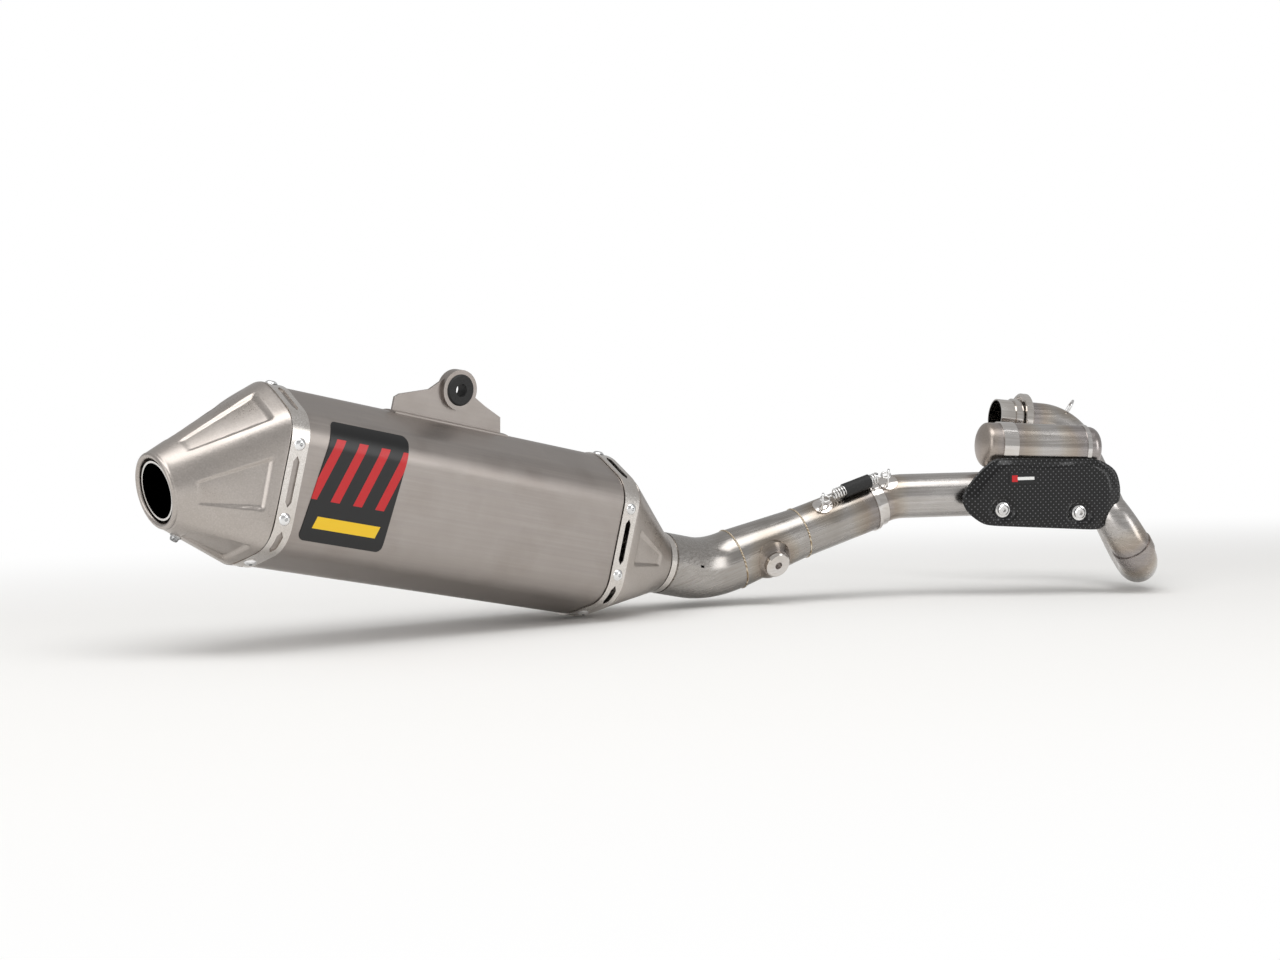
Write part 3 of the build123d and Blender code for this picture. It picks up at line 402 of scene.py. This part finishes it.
drawn = lineScales(2, metalSizes["drawLine"])
brushed = lineScales(2, metalSizes["brushLine"])
grains = (1 / metalSizes["blastGrain"],) * 3
looks = {
    "link": titaniumMaterial(
        "drawnTitaniumLink", linkPlace, ("#a29d98", "#aca8a4", "#b8b4b0"), 0.24, drawn, 0.45, 0.04),
    "run": titaniumMaterial(
        "drawnTitaniumHeader", runPlace, ("#b2aeaa", "#bdb9b6", "#c8c5c2"), 0.24, drawn, 0.45, 0.04),
    "sleeve": titaniumMaterial(
        "brushedTitaniumSleeve", silencerPlace, ("#a09995", "#a49d98", "#a9a29d"), 0.36, brushed, 0.0, 0.05),
    "cap": titaniumMaterial(
        "blastedTitaniumCap", silencerPlace, ("#b0a9a3", "#b8b1ab", "#c2bbb6"), 0.33, grains, 0.0, 0.10),
    "dome": titaniumMaterial(
        "blastedTitaniumDome", runPlace, ("#aaa49f", "#b4aeaa", "#bfbab6"), 0.34, grains, 0.3, 0.10),
    "turned": titaniumMaterial(
        "turnedTitanium", silencerPlace, ("#cfcac4", "#dad5d0", "#e4e0dc"), 0.22, grains, 0.0, 0.04),
    "collar": titaniumMaterial(
        "turnedTitaniumCollar", mouthPlace, ("#d8d5d1", "#e2dfdc", "#ebe9e7"), 0.12, drawn, 0.15, 0.02),
    "insert": insertMaterial(),
    "weld": weldMaterial(),
    "steel": brightMaterial("polishedSteel", "#c9c7c4", 0.14),
    "rivet": brightMaterial("polishedAluminium", "#d8d8d8", 0.18),
    "dark": brightMaterial("blackenedSteel", "#2a2a2c", 0.35),
    "carbon": carbonMaterial(),
    "rubber": rubberMaterial(),
    "panel": panelMaterial(),
    "plate": plateMaterial(),
    "fibre": fibreMaterial(),
}
nodeLooks = {
    "link": ["link_elbow", "link_tube", "boss_saddle"],
    "run": [
        "inlet_bend", "u_bend", "joint_ring", "near_bend", "header_reducer", "rear_tube",
        "chamber_body", "chamber_end_cap", "chamber_neck",
    ],
    "sleeve": ["sleeve", "bracket_plate", "bracket_foot", "grommet_ring"],
    "cap": ["outlet_cap", "inlet_cap", "outlet_seat"],
    "dome": ["chamber_dome_cap"],
    "turned": [
        "outlet_band", "inlet_band", "outlet_lip", "silencer_spigot",
    ],
    "insert": ["noise_insert"],
    "collar": [
        "chamber_cap_ring", "chamber_end_ring", "inlet_spigot", "inlet_flange_ring",
        "slip_sleeve", "slip_rim", "mount_boss", "link_loop_pad", "header_loop_pad", "shield_posts",
    ],
    "weld": ["header_weld_beads", "link_weld_beads"],
    "steel": [
        "engine_spring_loop", "header_spring_loop", "link_spring_loop", "spring", "shield_screws",
        "perforated_core", "core_plate_rear", "core_plate_front",
    ],
    "rivet": ["outlet_rivets", "inlet_rivets"],
    "dark": ["insert_screw"],
    "carbon": ["heat_shield"],
    "rubber": ["spring_sleeve", "grommet"],
    "panel": ["badge_panel"],
    "plate": ["shield_badge"],
    "fibre": ["packing"],
}


def dress(node, look):  # material and smooth facets for a CAD node
    part = frame["nodes"][node]
    part.data.materials.clear()
    part.data.materials.append(looks[look])
    for face in part.data.polygons:
        face.use_smooth = True
    weld = part.modifiers.new("joinFacets", "WELD")
    weld.merge_threshold = 0.000002
    crease = part.modifiers.new("keepCorners", "EDGE_SPLIT")
    crease.split_angle = radians(24)


for look, nodes in nodeLooks.items():
    for node in nodes:
        dress(node, look)
print("materials on", sum(len(nodes) for nodes in nodeLooks.values()), "nodes")


# spring wound from wire, with a hook at each end

springSize = {
    "coilRadius": 0.0042,
    "wire": 0.00095,
    "turns": 17,
    "angle": 54,         # degrees above the right side, round the link pipe
    "lift": 0.031,
    "start": 0.132,      # along the link pipe
    "end": 0.178,
    "backLoop": 0.121,
    "frontLoop": 0.190,
}


def springPoint(along, lift):
    angle = radians(springSize["angle"])
    return linkPlace @ Vector((-lift * cos(angle), lift * sin(angle), along))


def newPiece(name, mesh, body, look):
    piece = bpy.data.objects.new(name, mesh)
    bpy.context.scene.collection.objects.link(piece)
    piece.data.materials.append(looks[look])
    for face in piece.data.polygons:
        face.use_smooth = True
    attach(piece, body)
    return piece


def finishMesh(shape, name, inside=None):  # an open shell turns its faces away from the point inside
    bmesh.ops.recalc_face_normals(shape, faces=shape.faces)
    shape.normal_update()
    if inside:
        outward = sum(
            face.normal.dot(face.calc_center_median() - inside) * face.calc_area() for face in shape.faces
        )
        if outward < 0:
            bmesh.ops.reverse_faces(shape, faces=shape.faces)
    mesh = bpy.data.meshes.new(name)
    shape.to_mesh(mesh)
    shape.free()
    return mesh


def springWire():
    size = springSize
    start = springPoint(size["start"], size["lift"])
    end = springPoint(size["end"], size["lift"])
    along = (end - start).normalized()
    out = (springPoint(0, 1) - springPoint(0, 0)).normalized()
    place = axesAt(start, along, out)
    shape = bmesh.new()
    ring = bmesh.ops.create_circle(
        shape, segments=8, radius=size["wire"],
        matrix=place @ Matrix.Translation((size["coilRadius"], 0, 0)) @ Matrix.Rotation(pi / 2, 4, "X"),
    )
    steps = size["turns"] * 20
    bmesh.ops.spin(
        shape, geom=ring["verts"] + list(shape.edges), cent=start, axis=along,
        dvec=along * ((end - start).length / steps), angle=2 * pi * size["turns"], steps=steps,
    )
    for loopAt, near, sign in ((size["backLoop"], start, -1), (size["frontLoop"], end, 1)):
        hookRadius = 0.0040
        tail = springPoint(loopAt, size["lift"] - 0.0012) - along * sign * 0.0025
        centre = tail
        hook = bmesh.ops.create_circle(
            shape, segments=8, radius=size["wire"],
            matrix=(
                axesAt(centre, out, along)
                @ Matrix.Translation((hookRadius, 0, 0))
                @ Matrix.Rotation(pi / 2, 4, "X")
            ),
        )
        edges = list({edge for vert in hook["verts"] for edge in vert.link_edges})
        bmesh.ops.spin(
            shape, geom=hook["verts"] + edges, cent=centre, axis=out, angle=2 * pi, steps=24, use_merge=True,
        )
        reach = (near - centre).length - hookRadius
        straight = centre.lerp(near, (hookRadius + reach / 2) / (near - centre).length)
        bmesh.ops.create_cone(
            shape, cap_ends=True, segments=8, radius1=size["wire"], radius2=size["wire"], depth=reach,
            matrix=axesAt(straight, along, out),
        )
    piece = newPiece("springWire", finishMesh(shape, "springWire"), "link_pipe", "steel")
    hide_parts("spring")
    return piece


springWire()
print("spring wound")


# pressed caps of the silencer

capSize = {
    "halfWidth": 0.0548,     # the band's outside
    "slopeFrom": 0.0657,     # distance of a sloping face from the middle
    "wall": 0.0016,
    "edgeRound": 0.0035,
    "panelDepth": 0.0030,
    "panelFade": 0.85,       # less depth towards the tip
    "panelBlend": 0.0018,
    "sides": 288,
}
outletCapSize = {
    "base": -0.0006,
    "tipRadius": 0.0263,
    "roll": 0.00228,
    "sidePanel": (0.0200, 0.0085),
    "slopePanel": (0.0190, 0.0070),
    "panelSpan": (0.12, 0.82),
}
inletCapSize = {
    "base": 0.3382,
    "neck": 0.4120,
    "neckDrop": 0.012,
    "neckRadius": 0.0267,
    "sidePanel": (0.0150, 0.0050),
    "slopePanel": (0.0150, 0.0045),
    "panelSpan": (0.14, 0.74),
}


def hexRadius(angle):  # from the middle to the six-sided outline, its corners rounded
    total = 0
    power = 9.6 + 3.6 * sin(angle) ** 4
    for face in (0, 180, 65.4, 114.6, -65.4, -114.6):
        distance = capSize["halfWidth"] if face in (0, 180) else capSize["slopeFrom"]
        facing = cos(angle - radians(face))
        if facing > 0:
            total += (facing / distance) ** power
    return total ** (-1 / power)


def smooth(low, high, value):
    share = min(max((value - low) / (high - low), 0), 1)
    return share * share * (3 - 2 * share)


def panelDip(angle, share, width, size):  # how far a pressed panel sinks; share runs from base to tip
    start, end = size["panelSpan"]
    along = smooth(start, start + 0.035, share) * (1 - smooth(end - 0.06, end, share))
    if along == 0:
        return 0
    deepest = 0
    for face in (0, 180, 65.4, 114.6, -65.4, -114.6):
        wide, narrow = size["sidePanel"] if face in (0, 180) else size["slopePanel"]
        half = wide + (narrow - wide) * (share - start) / (end - start)
        turn = (angle - radians(face) + pi) % (2 * pi) - pi
        off = abs(turn) * width
        if abs(turn) < 1:
            deepest = max(deepest, 1 - smooth(half - capSize["panelBlend"], half, off))
    return capSize["panelDepth"] * along * deepest * (1 - capSize["panelFade"] * share)


def drawnThrough(shape, rings):  # a loop extruded from each ring of points to the next; gives the last loop
    verts = bmesh.ops.create_circle(shape, segments=len(rings[0]), radius=0.001)["verts"]
    loop = list({edge for vert in verts for edge in vert.link_edges})
    for vert, point in zip(verts, rings[0]):
        vert.co = point
    for points in rings[1:]:
        made = bmesh.ops.extrude_edge_only(shape, edges=loop)["geom"]
        fresh = {item for item in made if isinstance(item, bmesh.types.BMVert)}
        edges = [item for item in made if isinstance(item, bmesh.types.BMEdge)]
        loop = [edge for edge in edges if fresh.issuperset(edge.verts)]
        verts = [
            next(edge.other_vert(vert) for edge in vert.link_edges if edge.other_vert(vert) in fresh)
            for vert in verts
        ]
        for vert, point in zip(verts, points):
            vert.co = point
    return loop


def pressedCap(name, size, nodes, basePlace, endPlace, endRadius):
    count = capSize["sides"]
    angles = [2 * pi * step / count for step in range(count)]
    shape = bmesh.new()
    rings = []
    shares = [0, 0.008, 0.02, 0.04, 0.06] + [0.08 + 0.9 * step / 60 for step in range(61)]
    for share in shares:
        points = []
        sink = capSize["edgeRound"] * (1 - min(share / 0.05, 1)) ** 2
        for angle in angles:
            out = Vector((cos(angle), sin(angle), 0))
            near = basePlace @ (out * (hexRadius(angle) - sink * 0.12))
            far = endPlace @ (out * endRadius)
            point = near.lerp(far, share)
            middlePoint = basePlace.translation.lerp(endPlace.translation, share)
            inward = (middlePoint - point).normalized()
            width = (middlePoint - point).length
            points.append(point + inward * panelDip(angle, share, width, size))
        rings.append(points)
    roll = size.get("roll")
    if roll:
        for step in range(13):
            bend = radians(20 - 17.5 * step)
            reach = size["tipRadius"] + roll * cos(bend)
            rise = roll * sin(bend)
            rings.append([
                endPlace @ Vector((cos(angle) * reach, sin(angle) * reach, rise)) for angle in angles
            ])
    drawnThrough(shape, rings)
    heart = basePlace.translation.lerp(endPlace.translation, 0.5)
    piece = newPiece(name, finishMesh(shape, name, heart), "silencer", "cap")
    skin = piece.modifiers.new("wall", "SOLIDIFY")
    skin.thickness = capSize["wall"]
    skin.offset = -1
    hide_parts(*nodes)
    return piece


pressedCap(
    "outletCapPressed", outletCapSize, ["outlet_cap", "outlet_lip"],
    silencerPlace @ Matrix.Translation((0, 0, outletCapSize["base"])),
    tipPlace, outletCapSize["tipRadius"] + outletCapSize["roll"] * 0.93,
)
pressedCap(
    "inletCapPressed", inletCapSize, ["inlet_cap"],
    silencerPlace @ Matrix.Translation((0, 0, inletCapSize["base"])),
    silencerPlace @ Matrix.Translation((0, -inletCapSize["neckDrop"], inletCapSize["neck"])),
    inletCapSize["neckRadius"],
)
print("caps pressed")


# moulded carbon shield

shieldSize = {
    "outline": (
        (0.055, 0.000), (0.074, 0.025), (0.088, 0.034), (0.188, 0.031), (0.206, 0.021), (0.212, 0.000),
        (0.205, -0.022), (0.190, -0.0345), (0.078, -0.027), (0.060, -0.015),
    ),
    "centre": (0.134, 0.0),  # the rings shrink towards it
    "sides": 288,
    "cornerPower": 26,   # a higher power makes sharper corners
    "badgeAlong": 0.113,
    "badgeUp": 0.015,
    "badgeHalf": 0.00025,  # half of the badge's thickness
    "face": 0.035,       # its outside, out from the header's run
    "border": 0.010,     # sloping border
    "borderDrop": 0.0042,
    "skirt": 0.0012,
    "screws": ((0.094, -0.013), (0.168, -0.018)),
    "pocket": 0.0138,
    "pocketFloor": 0.0074,
    "pocketDepth": 0.0034,
    "wall": 0.0014,
    "flat": 0.36,        # share of the outline filled by one flat face
}


def outlineReach(angle, centre, outline):  # from the centre to the outline, its corners rounded
    out = Vector((cos(angle), sin(angle)))
    power = shieldSize["cornerPower"]
    total = 0
    for first, second in zip(outline, outline[1:] + outline[:1]):
        side = (second - first).normalized()
        normal = Vector((-side.y, side.x))
        distance = abs(normal.dot(first - centre))
        if normal.dot(first - centre) < 0:
            normal = -normal
        facing = normal.dot(out)
        if facing > 0:
            total += (facing / distance) ** power
    return total ** (-1 / power)


def mouldedShield():
    size = shieldSize
    outline = [Vector(point) for point in size["outline"]]
    centre = Vector(size["centre"])
    count = size["sides"]
    angles = [2 * pi * step / count for step in range(count)]
    reaches = [outlineReach(angle, centre, outline) for angle in angles]
    shape = bmesh.new()
    rings = []
    scales = [1.0, 0.998, 0.992, 0.985] + [0.975 - (0.975 - size["flat"]) * step / 60 for step in range(61)]
    for scale in scales:
        points = []
        for angle, reach in zip(angles, reaches):
            flat = centre + Vector((cos(angle), sin(angle))) * reach * scale
            inset = reach * (1 - scale) * min(1, 0.035 / reach + 0.25)
            slope = 1 - smooth(0.0, size["border"], inset)
            height = size["face"] - size["borderDrop"] * slope
            height -= size["skirt"] * (1 - smooth(0, 0.0012, inset))
            for spot in size["screws"]:
                off = (flat - Vector(spot)).length
                height -= size["pocketDepth"] * (1 - smooth(size["pocketFloor"], size["pocket"], off))
            along = runOrigin + runForward * flat.x + runUp * flat.y + runOut * height
            points.append(along)
        rings.append(points)
    bmesh.ops.contextual_create(shape, geom=drawnThrough(shape, rings))
    behind = badgeMiddle - runOut
    piece = newPiece("carbonShield", finishMesh(shape, "carbonShield", behind), "header", "carbon")
    skin = piece.modifiers.new("wall", "SOLIDIFY")
    skin.thickness = size["wall"]
    skin.offset = -1
    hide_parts("heat_shield")
    return piece


runOut = runForward.cross(Vector((0, 0, 1))).normalized()
runUp = runOut.cross(runForward)
badgeMiddle = middle("shield_badge")
runOrigin = badgeMiddle - runForward * shieldSize["badgeAlong"] - runUp * shieldSize["badgeUp"]
runOrigin -= runOut * (shieldSize["face"] + shieldSize["badgeHalf"])
mouldedShield()
print("shield moulded")


# floor, light and camera

stageSize = {
    "floorColour": "#f4f3f1",
    "reach": 7.0,
    "gap": 0.0004,        # floor below the lowest point
    "whiteFrom": 0.30,    # m behind the middle, where the floor starts to fade to white
    "whiteBy": 0.95,
    "lengthwise": 0.42,   # the fade's squeeze along the object
    "key": 27.0,
    "fill": 13.0,
    "rim": 10.0,
    "room": 0.5,          # the room's walls, as metal reflects them
}
viewPoint = {
    "place": (-1.3594, -1.6694, 0.0504),
    "yaw": -30.0,
    "down": 3.0,
    "lens": 61.9,
}


def makeStage():
    lowest = cadBox[0][2]
    shape = bmesh.new()
    bmesh.ops.create_grid(shape, x_segments=2, y_segments=2, size=stageSize["reach"] * 3)
    floor = bpy.data.objects.new("paleFloor", finishMesh(shape, "paleFloor"))
    floor.location = (0, 0, lowest - stageSize["gap"])
    bpy.context.scene.collection.objects.link(floor)
    material, tree, shader = newMaterial("palePaper")
    shader.inputs["Base Color"].default_value = toLinear(stageSize["floorColour"])
    shader.inputs["Roughness"].default_value = 0.9
    shader.inputs["Specular IOR Level"].default_value = 0.1
    coords = addNode(tree, "ShaderNodeTexCoord").outputs["Object"]
    oval = stretched(tree, coords, (stageSize["lengthwise"], 1, 1))
    heart = (-0.42 * stageSize["lengthwise"], -0.16, 0)
    span = addNode(tree, "ShaderNodeVectorMath", {"operation": "DISTANCE"}, in0=oval, in1=heart)
    fade = addNode(
        tree, "ShaderNodeMapRange", {"interpolation_type": "SMOOTHSTEP"}, Value=span.outputs["Value"],
        From_Min=stageSize["whiteFrom"], From_Max=stageSize["whiteBy"],
    ).outputs["Result"]
    glow = addNode(tree, "ShaderNodeEmission", None, Color=(1, 1, 1, 1), Strength=1.0)
    blend = addNode(tree, "ShaderNodeMixShader", None, in0=fade, in1=shader.outputs[0], in2=glow.outputs[0])
    tree.links.new(blend.outputs[0], tree.nodes["Material Output"].inputs["Surface"])
    floor.data.materials.append(material)
    world = bpy.data.worlds.new("softRoom")
    world.use_nodes = True
    room = world.node_tree
    seen = addNode(room, "ShaderNodeLightPath").outputs["Is Camera Ray"]
    shade = sums(room, "MAXIMUM", seen, stageSize["room"])
    room.nodes["Background"].inputs["Color"].default_value = toLinear("#ffffff")
    room.links.new(shade, room.nodes["Background"].inputs["Strength"])
    bpy.context.scene.world = world


def areaLight(name, place, target, size, sizeY, power):
    data = bpy.data.lights.new(name, "AREA")
    data.shape = "RECTANGLE"
    data.size = size
    data.size_y = sizeY
    data.energy = power
    lamp = bpy.data.objects.new(name, data)
    lamp.location = place
    lamp.rotation_euler = (Vector(target) - Vector(place)).to_track_quat("-Z", "Y").to_euler()
    bpy.context.scene.collection.objects.link(lamp)


makeStage()
centre = (Vector(cadBox[0]) + Vector(cadBox[1])) / 2
areaLight("overhead", centre + Vector((-0.3, -0.5, 2.0)), centre, 2.6, 1.2, stageSize["key"])
areaLight("cameraLeft", centre + Vector((-2.4, -1.0, 0.9)), centre, 1.2, 1.8, stageSize["fill"])
areaLight("cameraRight", centre + Vector((1.6, -2.0, 0.7)), centre, 0.8, 1.6, stageSize["rim"])

camera = bpy.data.objects.new("camera", bpy.data.cameras.new("camera"))
camera.data.lens = viewPoint["lens"]
camera.data.sensor_width = 36
camera.location = viewPoint["place"]
camera.rotation_euler = (radians(90 - viewPoint["down"]), 0, radians(viewPoint["yaw"]))
bpy.context.scene.collection.objects.link(camera)
bpy.context.scene.camera = camera
bpy.context.scene.view_settings.view_transform = "Standard"
print("stage and camera set")
